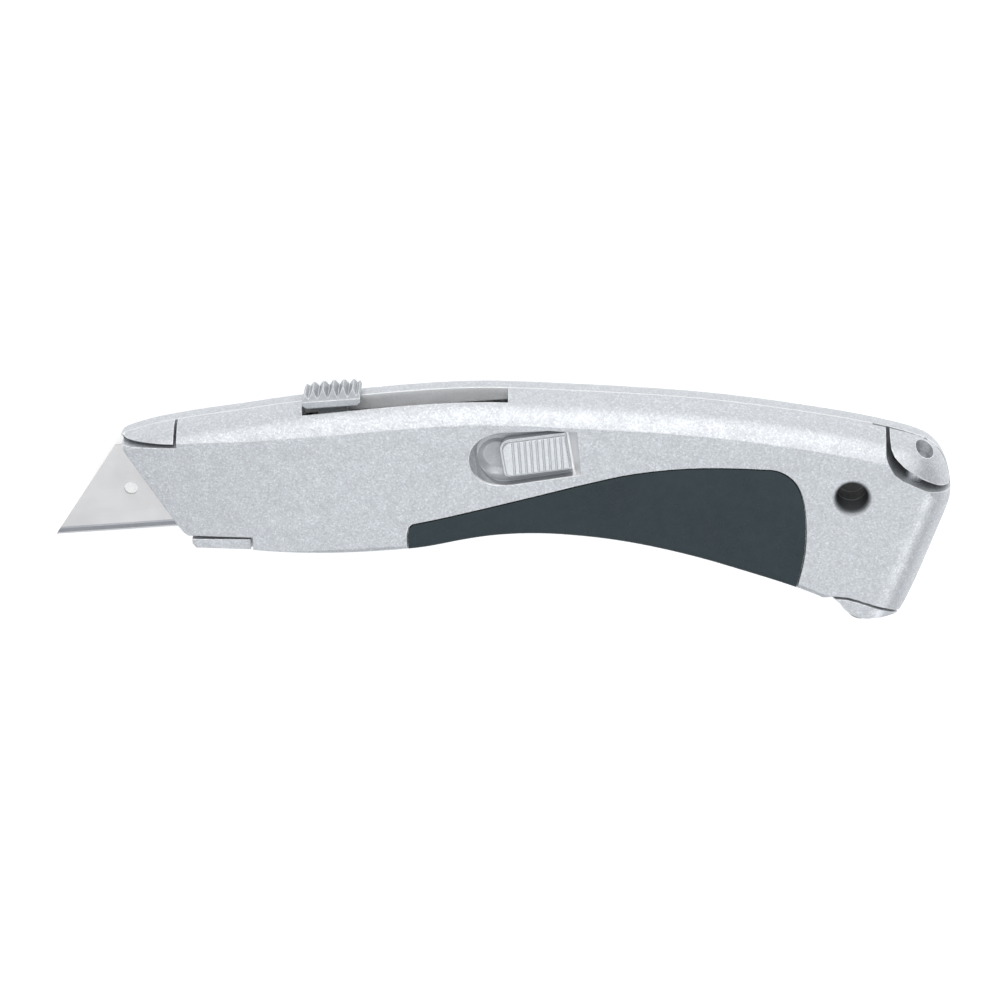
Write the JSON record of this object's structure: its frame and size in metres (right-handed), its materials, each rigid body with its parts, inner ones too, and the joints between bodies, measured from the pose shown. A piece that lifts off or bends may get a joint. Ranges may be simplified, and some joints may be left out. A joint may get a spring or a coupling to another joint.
{
  "type": "utility knife",
  "caption": "Retractable utility knife with a die-cast handle that swings open on a slanted rear pin, ribbed thumb slider, side release button and rubber grip inlays.",
  "frame": {"origin": "centre of the bounding box at its lowest face, the flat right side of the handle that the knife lies on", "axes": "+X along the knife from blade to tail, +Y towards the spine and thumb slider, +Z across the thickness towards the swing-open left side"},
  "size_m": [0.1794, 0.0501, 0.0155],
  "materials": {
    "cast_metal": "die-cast, metallic silver paint with fine flake",
    "button_metal": "die-cast, satin silver paint",
    "rubber_grip": "matt dark slate elastomer",
    "blade_steel": "bright ground steel",
    "steel": "zinc-plated steel",
    "steel_dark": "darkened steel",
    "spring_steel": "spring temper steel",
    "carrier_plastic": "moulded acetal",
    "magnet": "nickel-plated"
  },
  "bodies": {
    "frame": {"right_shell": "cast_metal", "right_grip": "rubber_grip", "hinge_pin": "steel_dark", "thrust_washer": "steel", "detent_rail": "steel", "detent_rail_screws": "steel_dark", "spare_blades": "blade_steel", "spare_clip": "spring_steel", "spare_clip_screw": "steel_dark"},
    "carriage": {"blade_carrier": "carrier_plastic", "blade": "blade_steel", "blade_magnet": "magnet", "index_spring": "spring_steel", "thumb_button_spring": "spring_steel"},
    "thumb": {"thumb_button": "button_metal"},
    "door": {"left_shell": "cast_metal", "left_grip": "rubber_grip", "latch_spring": "spring_steel"},
    "latch": {"release_button": "button_metal", "latch_plate": "steel", "latch_screws": "steel_dark"}
  },
  "joints": [
    {"name": "blade_slide", "type": "slide", "parent": "frame", "child": "carriage", "axis": [0.9971, 0.0757, 0], "range_m": [0, 0.0288], "deforming": ["index_spring"]},
    {"name": "thumb_press", "type": "slide", "parent": "carriage", "child": "thumb", "axis": [0.0757, -0.9971, 0], "range_m": [0, 0.0005], "stiffness_N_per_m": 300, "deforming": ["thumb_button_spring"]},
    {"name": "door_hinge", "type": "hinge", "parent": "frame", "child": "door", "pos_m": [0.08423, 0.01254, 0.0108], "axis": [0.3326, 0.9431, 0], "range_deg": [0, 88]},
    {"name": "latch_slide", "type": "slide", "parent": "door", "child": "latch", "axis": [-0.9903, -0.1392, 0], "range_m": [0, 0.003], "stiffness_N_per_m": 250, "deforming": ["latch_spring"]}
  ]
}
